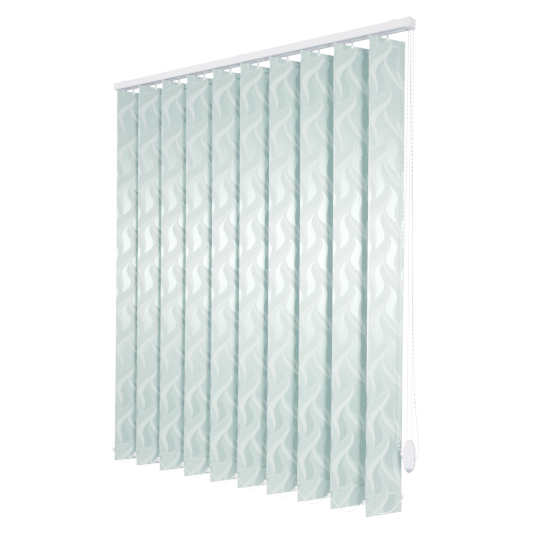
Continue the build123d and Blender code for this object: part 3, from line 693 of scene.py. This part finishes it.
class Finish(Enum):
    """The blind's finishes."""

    # Painted shade: a shadow line darkens the rail towards its bottom edge, over its last 2.5 mm.
    RAIL = MouldedFinish(
        "rail paint", (0.90, 0.88, 0.98), (0.30, 0.34, 0.42), 0.35, grain=0.00001, coat=0.2,
        fade=(RAIL_BOTTOM + 2.5 * MM, RAIL_BOTTOM + 1 * MM),
    )
    CAP = MouldedFinish("cap plastic", (0.86, 0.86, 0.92), (0.82, 0.82, 0.89), 0.33)
    CLIP = MouldedFinish("clip paint", (0.84, 0.84, 0.86), (0.80, 0.80, 0.83), 0.3)
    CARRIER = MouldedFinish("carrier plastic", (0.62, 0.64, 0.64), (0.55, 0.57, 0.57), 0.5)
    # Painted shade: the hooks' necks darken above the slat tops, in the shade under the rail.
    HOOK = MouldedFinish(
        "hook plastic", (0.95, 0.96, 0.97), (0.24, 0.26, 0.36), 0.35,
        fade=(SLAT_TOP + 1 * MM, SLAT_TOP + 3 * MM),
    )
    ROD = MouldedFinish("drawn rod", (0.62, 0.63, 0.65), (0.55, 0.56, 0.58), 0.32, metallic=1.0)
    DRIVE = MouldedFinish("drive plastic", (0.60, 0.61, 0.64), (0.54, 0.55, 0.58), 0.45)
    BEADS = MouldedFinish("bead plastic", (0.88, 0.89, 0.92), (0.82, 0.84, 0.88), 0.28)
    # Painted shade: the control beads are a dark copy of the white bead plastic.
    CONTROL_BEADS = MouldedFinish("control bead plastic", (0.38, 0.41, 0.50), (0.32, 0.35, 0.43), 0.28)
    # Painted shade: the weight's front shell darkens towards its bottom end.
    WEIGHT = MouldedFinish(
        "weight plastic", (0.78, 0.76, 0.92), (0.13, 0.16, 0.23), 0.3, coat=0.3, fade=(-1.255, -1.268),
    )
    # Painted shade: the rear shell is coloured near black for the dark outline of the weight.
    CLEAR = MouldedFinish("clear weight plastic", (0.06, 0.09, 0.13), (0.05, 0.07, 0.10), 0.3, clear=0.15)
    # Painted shade: the cord and the chain thread are coloured dark, for the shaded look of pale cord.
    CORD = CordFinish("braided cord", (0.15, 0.17, 0.27), (0.08, 0.09, 0.15))
    THREAD = CordFinish("chain thread", (0.09, 0.12, 0.16), (0.05, 0.07, 0.10))
    CLOTH = ClothFinish(
        "slat cloth", ground=(0.218, 0.400, 0.342), satin=(0.47, 0.82, 0.71), ribbon=(0.385, 0.585, 0.52),
        outline=(0.17, 0.31, 0.27), edge=(0.68, 0.85, 0.80),
    )

    def material(self) -> Material:
        """Returns the finish's material, made once."""
        found = bpy.data.materials.get(self.value.name)
        return found if found else self.value.build()


def dress(node: str, finish: Finish) -> None:
    """Gives a frame node its finish.

    Args:
        node: The node's name.
        finish: The finish.
    """
    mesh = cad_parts[node].data
    mesh.materials.clear()
    mesh.materials.append(finish.material())


def mesh_data(name: str, mesh: BMesh) -> Mesh:
    """Turns a finished mesh into mesh data and frees it.

    Args:
        name: The data's name.
        mesh: The mesh.

    Returns:
        The data.
    """
    data = bpy.data.meshes.new(name)
    mesh.to_mesh(data)
    mesh.free()
    return data


def link_object(name: str, data: ID) -> Object:
    """Puts a new object into the scene.

    Args:
        name: The object's name.
        data: Its mesh, curve, light or camera.

    Returns:
        The object.
    """
    item = bpy.data.objects.new(name, data)
    bpy.context.scene.collection.objects.link(item)
    return item


def add_piece(name: str, mesh: BMesh, body: str, finish: Finish) -> Object:
    """Makes an object of a finished mesh.

    Args:
        name: The piece's name.
        mesh: The mesh, in the blind's axes.
        body: The moving body that it rides on.
        finish: The finish.

    Returns:
        The new object.
    """
    piece = link_object(name, mesh_data(name, mesh))
    piece.data.materials.append(finish.material())
    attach(piece, body)
    return piece


def smooth(mesh: BMesh) -> None:
    """Shades a whole mesh smoothly."""
    for face in mesh.faces:
        face.smooth = True


# ---- slats


@dataclass
class Slats:
    """The ten cloth slats.

    In a hem the layers lie hem_half from the slat's middle plane, and come together over the height close.
    At half height both edges stand forward by camber and are turned by turn. The rows divide the cloth, in
    millimetres from its top and bottom.
    """

    cloth: float = 0.45 * MM
    top_hem: float = 20 * MM
    bottom_hem: float = 60 * MM
    hem_half: float = 1.05 * MM
    close: float = 1.0 * MM
    camber: float = 3 * MM
    turn: float = 3 * MM
    hole_width: float = 7 * MM
    hole_top: float = 4.5 * MM
    hole_height: float = 5 * MM
    top_rows: tuple[float, ...] = (1, 3, 4.5, 9.5, 13, 16, 19, 20, 24)
    bottom_rows: tuple[float, ...] = (1, 3, 10, 20, 30, 45, 55, 59, 60, 64)
    bow_rows: int = 26
    parts_across: int = 16

    def bow(self, u: float, z: float) -> float:
        """Finds how far the bowed cloth lies behind its plane.

        Args:
            u: Distance from the slat's middle.
            z: Height.

        Returns:
            The distance, nothing at the hems.
        """
        share = (SLAT_TOP - self.top_hem - z) / (SLAT_LENGTH - self.top_hem - self.bottom_hem)
        side = 2 * u / SLAT_WIDTH
        return math.sin(math.pi * min(1.0, max(0.0, share))) * (self.turn * side - self.camber * side**2)

    def front_offset(self, z: float) -> float:
        """Finds how far a hem's pocket pushes the front layer forward.

        Args:
            z: Height.

        Returns:
            The distance, nothing between the hems.
        """
        for depth, hem in ((SLAT_TOP - z, self.top_hem), (z - SLAT_BOTTOM, self.bottom_hem)):
            if depth < hem:
                return self.hem_half * min(1.0, (hem - depth) / self.close)
        return 0.0

    def split(self, mesh: BMesh, place: Point, direction: Point) -> None:
        """Divides the faces of a mesh along a plane."""
        geometry = mesh.verts[:] + mesh.edges[:] + mesh.faces[:]
        bmesh.ops.bisect_plane(mesh, geom=geometry, plane_co=place, plane_no=direction)

    def lay_map(self, mesh: BMesh, faces: Sequence[BMFace]) -> None:
        """Gives faces their places on the cloth, as distances across it and down it.

        Args:
            mesh: The cloth.
            faces: The faces.
        """
        uv = mesh.loops.layers.uv.get(CLOTH_MAP) or mesh.loops.layers.uv.new(CLOTH_MAP)
        for face in faces:
            for loop in face.loops:
                loop[uv].uv = (loop.vert.co.x, SLAT_TOP - loop.vert.co.z)

    def layer(self, low: float, high: float, rows: Sequence[float], front: bool) -> BMesh:
        """Builds one layer of cloth.

        Args:
            low: Lowest height.
            high: Highest height.
            rows: Heights where the layer is divided.
            front: Whether it is the front layer.

        Returns:
            The layer's mesh, in the slat's own axes.
        """
        mesh = bmesh.new()
        bmesh.ops.create_grid(mesh, x_segments=self.parts_across, y_segments=1, size=0.5)
        scale = Matrix.Diagonal((SLAT_WIDTH, high - low, 1, 1))
        upright = Matrix.Rotation(math.pi / 2, 4, "X")
        move = Matrix.Translation((0, 0, (low + high) / 2))
        bmesh.ops.transform(mesh, matrix=move @ upright @ scale, verts=mesh.verts)
        for height in rows:
            if low + TINY < height < high - TINY:
                self.split(mesh, (0, 0, height), (0, 0, 1))
        for side in (-0.5, 0.5):
            self.split(mesh, (side * self.hole_width, 0, 0), (1, 0, 0))
        hole_high = SLAT_TOP - self.hole_top
        inside = []
        for face in mesh.faces:
            middle = face.calc_center_median()
            level = hole_high - self.hole_height < middle.z < hole_high
            if level and abs(middle.x) < self.hole_width / 2:
                inside.append(face)
        bmesh.ops.delete(mesh, geom=inside, context="FACES")
        self.lay_map(mesh, mesh.faces)
        smooth(mesh)
        for vert in mesh.verts:
            offset = self.front_offset(vert.co.z)
            vert.co.y = self.bow(vert.co.x, vert.co.z) + (-offset if front else max(offset, self.cloth))
        return mesh

    def cloth_mesh(self) -> BMesh:
        """Builds one slat's cloth.

        Returns:
            The front layer and the two folded-back hems, in the slat's own axes.
        """
        hem_top = SLAT_TOP - self.top_hem
        hem_bottom = SLAT_BOTTOM + self.bottom_hem
        rows = [SLAT_TOP - d * MM for d in self.top_rows]
        rows += [SLAT_BOTTOM + d * MM for d in self.bottom_rows]
        rows += [hem_bottom + (hem_top - hem_bottom) * k / self.bow_rows for k in range(1, self.bow_rows)]
        whole = self.layer(SLAT_BOTTOM, SLAT_TOP, rows, True)
        for low, high in ((hem_top, SLAT_TOP), (SLAT_BOTTOM, hem_bottom)):
            data = mesh_data("hem", self.layer(low, high, rows, False))
            whole.from_mesh(data)
            bpy.data.meshes.remove(data)
        self.join_fold(whole, SLAT_TOP)
        self.join_fold(whole, SLAT_BOTTOM)
        bmesh.ops.recalc_face_normals(whole, faces=whole.faces)
        return whole

    def join_fold(self, mesh: BMesh, height: float) -> None:
        """Joins the front and back layers along a fold at a height."""
        edges = [e for e in mesh.edges if e.is_boundary and all(abs(v.co.z - height) < TINY for v in e.verts)]
        self.lay_map(mesh, bmesh.ops.bridge_loops(mesh, edges=edges)["faces"])

    def build(self) -> None:
        """Makes every slat."""
        for number in range(1, SLAT_COUNT + 1):
            mesh = self.cloth_mesh()
            bmesh.ops.transform(mesh, matrix=slat_place(number), verts=mesh.verts)
            slat = add_piece(f"cloth_{number:02d}", mesh, f"vane_{number:02d}", Finish.CLOTH)
            thick = slat.modifiers.new("cloth thickness", "SOLIDIFY")
            thick.thickness = self.cloth
            thick.offset = 0
            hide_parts(f"slat_{number:02d}")
            dress(f"slat_insert_{number:02d}", Finish.HOOK)
        log.info("cloth slats: %d", SLAT_COUNT)


# ---- chains and cords


def spline_curve(name: str, points: Sequence[Point], radius: float) -> Object:
    """Makes a smooth open curve along control points.

    Args:
        name: The curve's name.
        points: Control points, in metres.
        radius: Half the cord's thickness, or 0 for a bare line.

    Returns:
        The curve object.
    """
    data = bpy.data.curves.new(name, "CURVE")
    data.dimensions = "3D"
    spline = data.splines.new("NURBS")
    spline.points.add(len(points) - 1)
    for control, point in zip(spline.points, points):
        control.co = (*point, 1)
    spline.order_u = 3
    spline.use_endpoint_u = True
    spline.resolution_u = 12
    data.bevel_depth = radius
    data.bevel_resolution = 3
    data.use_fill_caps = radius > 0
    return link_object(name, data)


def in_metres(points: Sequence[Point]) -> list[Point]:
    """Returns points given in millimetres in metres."""
    return [(x * MM, y * MM, z * MM) for x, y, z in points]


def curve_mesh(curve: Object) -> Mesh:
    """Turns a curve object into mesh data and removes it.

    Args:
        curve: The curve.

    Returns:
        The data.
    """
    bpy.context.view_layer.update()
    shown = curve.evaluated_get(bpy.context.evaluated_depsgraph_get())
    data = bpy.data.meshes.new_from_object(shown)
    bpy.data.objects.remove(curve)
    return data


def curve_points(points: Sequence[Point]) -> list[Vector]:
    """Reads the points that a smooth curve passes.

    Args:
        points: The curve's control points.

    Returns:
        Points along the curve, in order.
    """
    data = curve_mesh(spline_curve("route", points, 0))
    found = [v.co.copy() for v in data.vertices]
    bpy.data.meshes.remove(data)
    return found


def line_length(line: Sequence[Vector]) -> float:
    """Returns the length of a line through points."""
    return sum((b - a).length for a, b in zip(line, line[1:]))


def spaced_places(line: Sequence[Vector], pitch: float, start: float = 0.0) -> list[Matrix]:
    """Finds places at equal steps along a line.

    Args:
        line: Points along the line.
        pitch: The step.
        start: Distance of the first place.

    Returns:
        A matrix for each place, with local Z along the line.
    """
    places = []
    walked, wanted = 0.0, start
    for first, second in zip(line, line[1:]):
        span = (second - first).length
        while span > 0 and wanted <= walked + span:
            spot = first.lerp(second, (wanted - walked) / span)
            turn = (second - first).to_track_quat("Z", "Y").to_matrix().to_4x4()
            places.append(Matrix.Translation(spot) @ turn)
            wanted += pitch
        walked += span
    return places


@dataclass(frozen=True)
class Bead:
    """One bead: its radius, its length over its width, and its rows and columns of faces."""

    radius: float
    stretch: float
    rings: int
    sides: int

    def string(self, mesh: BMesh, places: Sequence[Matrix]) -> None:
        """Adds one bead at each place.

        Args:
            mesh: The mesh that the beads go into.
            places: Where they are.
        """
        small = bmesh.new()
        bmesh.ops.create_uvsphere(
            small, u_segments=self.sides, v_segments=self.rings, radius=self.radius,
            matrix=Matrix.Diagonal((1, 1, self.stretch, 1)),
        )
        smooth(small)
        bead = mesh_data("bead", small)
        for place in places:
            moved = bead.copy()
            moved.transform(place)
            mesh.from_mesh(moved)
            bpy.data.meshes.remove(moved)
        bpy.data.meshes.remove(bead)


@dataclass
class BottomChains:
    """The small chains that space the slats' lower ends."""

    sag: float = 36 * MM
    end_sag: float = 39 * MM
    end_front: float = -2.8 * MM
    slope: float = math.tan(math.radians(42))
    level: float = 3 * MM
    round_part: float = 8 * MM
    bead: Bead = Bead(1.5 * MM, 1.15, 6, 8)
    pitch: float = 3.1 * MM

    def route(self, span: float, sag: float) -> list[Point]:
        """Lays out one hanging length, from the origin along X.

        Args:
            span: Distance between its ends.
            sag: Depth of its lowest point.

        Returns:
            Its control points.
        """
        half = span / 2
        low = half - self.level - (sag - self.round_part) / self.slope
        return [
            (0, 0, 0),
            (self.level, 0, 0),
            (half - low, 0, self.round_part - sag),
            (half - low / 2, 0, self.round_part / 4 - sag),
            (half + low / 2, 0, self.round_part / 4 - sag),
            (half + low, 0, self.round_part - sag),
            (span - self.level, 0, 0),
            (span, 0, 0),
        ]

    def span_mesh(self, mesh: BMesh, place: Matrix, span: float, sag: float) -> None:
        """Adds one hanging length of chain.

        Args:
            mesh: The mesh that it goes into.
            place: Where it starts and how it is turned.
            span: Distance between its ends.
            sag: Depth of its lowest point.
        """
        line = [place @ point for point in curve_points(self.route(span, sag))]
        length = line_length(line)
        count = round(length / self.pitch)
        self.bead.string(mesh, spaced_places(line, length / count, length / count / 2))

    def build(self) -> None:
        """Makes the front, rear and end chains."""
        for name, side in (("front", -1), ("rear", 1)):
            mesh = bmesh.new()
            x = side * CHAIN_REACH * math.cos(REST_TURN)
            y = side * CHAIN_REACH * math.sin(REST_TURN)
            for number in range(1, SLAT_COUNT):
                hook = LAST_HOOK_X - (SLAT_COUNT - number) * SLAT_PITCH
                self.span_mesh(mesh, Matrix.Translation((hook + x, y, CLIP_Z)), SLAT_PITCH, self.sag)
            chain = add_piece(f"{name}_ball_chain", mesh, f"{name}_chain_body", Finish.BEADS)
            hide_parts(f"{name}_chain")
            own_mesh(chain)
        mesh = bmesh.new()
        start = slat_place(SLAT_COUNT) @ Matrix.Translation((-CHAIN_REACH, self.end_front, CLIP_Z))
        self.span_mesh(mesh, start, 2 * CHAIN_REACH, self.end_sag)
        chain = add_piece("end_ball_chain", mesh, f"vane_{SLAT_COUNT:02d}", Finish.BEADS)
        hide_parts("end_chain")
        log.info("bottom chains: %d lengths", 2 * (SLAT_COUNT - 1) + 1)


@dataclass
class Controls:
    """Bead chain, draw cord and cord weight."""

    bead_pitch: float = 11.4 * MM
    bead: Bead = Bead(2.5 * MM, 1.25, 8, 12)
    thread: float = 0.7 * MM
    cord: float = 1.1 * MM
    strap: float = 1.2 * MM
    wheel_x: float = 593.5 * MM
    wheel_radius: float = 4 * 11.4 * MM / (2 * math.pi)
    wheel_steps: int = 12

    def chain_route(self) -> list[Point]:
        """Returns the bead chain's control points."""
        front, rear = -9 - self.wheel_radius / MM, -9 + self.wheel_radius / MM
        return in_metres([
            (593.5, front, -13.6), (593.5, front, -75), (587.8, -11.5, -340), (587, -6, -410),
            (578.5, -4.5, -650), (574.5, -1, -1043), (568, 0.5, -1150), (566.5, 1, -1200), (573, 1.5, -1232),
            (588.2, 1.5, -1249), (588.2, 1.5, -1266.3), (606.8, 1.5, -1266.3), (606.8, 1.5, -1249),
            (620, 1.5, -1230), (626, 2, -1200), (620.5, 2.5, -1150), (609, 2.5, -1043), (602.2, 1.5, -650),
            (598, 0.5, -369), (593.5, rear, -75), (593.5, rear, -13.6),
        ])

    def cord_route(self) -> list[Point]:
        """Returns the draw cord's control points."""
        return in_metres([
            (590, 5.5, -15.7), (590, 5.5, -38.7), (590.5, 1.5, -1172), (590.5, 1.5, -1210),
            (604.5, 1.5, -1210), (604.5, 1.5, -1172), (595.5, 11, -38.7), (595.5, 11, -15.7),
        ])

    def over_wheel(self) -> list[Vector]:
        """Returns the bead chain's line over its wheel."""
        r, angles = self.wheel_radius, [math.pi * k / self.wheel_steps for k in range(self.wheel_steps + 1)]
        return [Vector((self.wheel_x, ROD_Y + r * math.cos(a), ROD_Z + r * math.sin(a))) for a in angles]

    def build_chain(self) -> None:
        """Makes the bead chain."""
        route = self.chain_route()
        line = curve_points(route)
        length = line_length(line)
        mesh = bmesh.new()
        count = round(length / self.bead_pitch)
        self.bead.string(mesh, spaced_places(line, length / count, length / count / 2))
        self.bead.string(mesh, spaced_places(self.over_wheel(), self.bead_pitch, self.bead_pitch / 2))
        beads = add_piece("control_beads", mesh, "rail", Finish.CONTROL_BEADS)
        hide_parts("control_chain")
        thread = spline_curve("control_thread", route, self.thread)
        thread.data.materials.append(Finish.THREAD.material())
        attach(thread, "rail")
        log.info("bead chain: %.3f m, %d beads", length, count)

    def build_cord(self) -> None:
        """Makes the draw cord."""
        route = self.cord_route()
        length = line_length(curve_points(route))
        cord = spline_curve("draw_cord_loop", route, self.cord)
        cord.data.materials.append(Finish.CORD.material())
        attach(cord, "rail")
        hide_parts("draw_cord")
        log.info("draw cord: %.3f m", length)

    def build_strap(self) -> None:
        """Makes the white strap across the cord weight."""
        route = in_metres([
            (579.5, 1.5, -1239), (582, -3.5, -1243), (590, -5.8, -1247.5), (598, -5.9, -1250),
            (608, -5.4, -1249.5), (614, -2, -1246), (615.5, 1.5, -1243),
        ])
        data = curve_mesh(spline_curve("strap_line", route, self.strap))
        mesh = bmesh.new()
        mesh.from_mesh(data)
        bpy.data.meshes.remove(data)
        smooth(mesh)
        add_piece("weight_strap", mesh, "rail", Finish.BEADS)

    def build(self) -> None:
        """Makes the chain, the cord and the strap."""
        self.build_chain()
        self.build_cord()
        self.build_strap()


# ---- frame nodes that keep their form


DRESSED = {
    Finish.RAIL: ["headrail"],
    Finish.CAP: ["control_cover", "idler_housing"],
    Finish.CARRIER: ["control_housing"],
    Finish.CLIP: ["ceiling_clips"],
    Finish.ROD: ["tilt_rod"],
    Finish.DRIVE: ["chain_wheel", "cord_pulley_front", "cord_pulley_rear", "return_pulley", "weight_pulley"],
    Finish.CORD: ["rail_cord"],
    Finish.HOOK: ["chain_connector"],
    Finish.WEIGHT: ["weight_shell_front"],
    Finish.CLEAR: ["weight_shell_rear"],
}


def dress_frame() -> None:
    """Gives the frame's own nodes their finishes."""
    for finish, names in DRESSED.items():
        for name in names:
            dress(name, finish)
    for number in range(1, SLAT_COUNT + 1):
        dress(f"carrier_{number:02d}", Finish.CARRIER)
        dress(f"hook_{number:02d}", Finish.HOOK)


# ---- studio


@dataclass
class PhotoCamera:
    """Camera fitted to the photograph."""

    place: Point = (1.46313, -1.89796, -0.73449)
    yaw: float = math.radians(36.85)
    pitch: float = math.radians(-0.19)
    roll: float = math.radians(0.43)
    focal_px: float = 726.89
    side_px: float = 533.0
    centre_px: tuple[float, float] = (251.5, 281.5)
    sensor: float = 36

    def build(self) -> None:
        """Makes the camera."""
        ahead = Vector((-math.sin(self.yaw), math.cos(self.yaw), 0))
        right = Vector((math.cos(self.yaw), math.sin(self.yaw), 0))
        up = Vector((0, 0, 1))
        look = ahead * math.cos(self.pitch) + up * math.sin(self.pitch)
        top = up * math.cos(self.pitch) - ahead * math.sin(self.pitch)
        side = right * math.cos(self.roll) + top * math.sin(self.roll)
        top = top * math.cos(self.roll) - right * math.sin(self.roll)
        data = bpy.data.cameras.new("photo_camera")
        data.sensor_width = self.sensor
        data.sensor_fit = "HORIZONTAL"
        data.lens = self.sensor * self.focal_px / self.side_px
        data.shift_x = (self.side_px / 2 - self.centre_px[0]) / self.side_px
        data.shift_y = (self.centre_px[1] - self.side_px / 2) / self.side_px
        data.clip_start, data.clip_end = 0.05, 100
        camera = link_object("photo_camera", data)
        matrix = Matrix((side, top, -look)).transposed().to_4x4()
        camera.matrix_world = Matrix.Translation(self.place) @ matrix
        bpy.context.scene.camera = camera


@dataclass(frozen=True)
class SoftBox:
    """A rectangular studio light, turned round the blind from straight in front towards the control end."""

    name: str
    turn: float
    distance: float
    height: float
    target: Point
    size: tuple[float, float]
    power: float
    spread: float
    tint: Point

    def build(self) -> None:
        """Makes the light."""
        data = bpy.data.lights.new(self.name, "AREA")
        data.shape = "RECTANGLE"
        data.size, data.size_y = self.size
        data.energy = self.power
        data.spread = self.spread
        data.color = self.tint
        light = link_object(self.name, data)
        aside, ahead = self.distance * math.sin(self.turn), -self.distance * math.cos(self.turn)
        light.location = place = Vector((aside, ahead, self.height))
        light.rotation_mode = "QUATERNION"
        light.rotation_quaternion = (Vector(self.target) - place).to_track_quat("-Z", "Y")


@dataclass
class Studio:
    """Pale floor, white surroundings and two soft boxes."""

    floor_z: float = SLAT_BOTTOM - 60 * MM
    fill: float = 1.65
    fill_tint: Point = (1.0, 0.98, 1.16)
    backdrop: float = 18.0
    floor_half: float = 30
    boxes: tuple[SoftBox, ...] = (
        SoftBox(
            "key_box", math.radians(47), 3.0, -0.54, (0.25, 0, -0.77), (0.35, 0.6), 39.5, math.radians(45.5),
            (1.0, 1.0, 0.95),
        ),
        SoftBox(
            "front_box", math.radians(-42), 2.6, 0.1, (0.1, 0, -0.2), (0.6, 0.5), 22, math.radians(70),
            (0.97, 0.94, 1.0),
        ),
    )

    def surroundings(self) -> None:
        """Makes the world: soft fill light, and plain white where the camera sees past the blind."""
        world = bpy.data.worlds.new("studio")
        bpy.context.scene.world = world
        world.use_nodes = True
        nodes = Nodes(world.node_tree)
        seen = nodes.add("ShaderNodeLightPath").outputs["Is Camera Ray"]
        nodes.fill(
            world.node_tree.nodes["Background"], Color=nodes.mix(seen, (*self.fill_tint, 1), (1, 1, 1, 1)),
            Strength=nodes.times_plus(seen, self.backdrop - self.fill, self.fill),
        )

    def floor(self) -> None:
        """Makes the pale floor, lit as brightly as the backdrop where the camera sees it."""
        mesh = bmesh.new()
        bmesh.ops.create_grid(mesh, x_segments=1, y_segments=1, size=self.floor_half)
        bmesh.ops.translate(mesh, verts=mesh.verts, vec=(0, 0, self.floor_z))
        floor = link_object("studio_floor", mesh_data("studio_floor", mesh))
        material, nodes, shader = new_material("studio floor")
        seen = nodes.add("ShaderNodeLightPath").outputs["Is Camera Ray"]
        nodes.fill(
            shader, Base_Color=(0.8, 0.8, 0.8, 1), Roughness=1.0, Specular_IOR_Level=0.0,
            Emission_Color=(1, 1, 1, 1), Emission_Strength=nodes.times(seen, self.backdrop),
        )
        floor.data.materials.append(material)

    def build(self) -> None:
        """Makes the floor, the surroundings and the lights."""
        self.floor()
        self.surroundings()
        for box in self.boxes:
            box.build()


def main() -> None:
    """Builds the blind's looks in order."""
    logging.basicConfig(level=logging.INFO, format="%(name)s: %(message)s")
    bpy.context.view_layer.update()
    PhotoCamera().build()
    Controls().build()
    BottomChains().build()
    Slats().build()
    dress_frame()
    Studio().build()


if __name__ == "__main__":
    main()
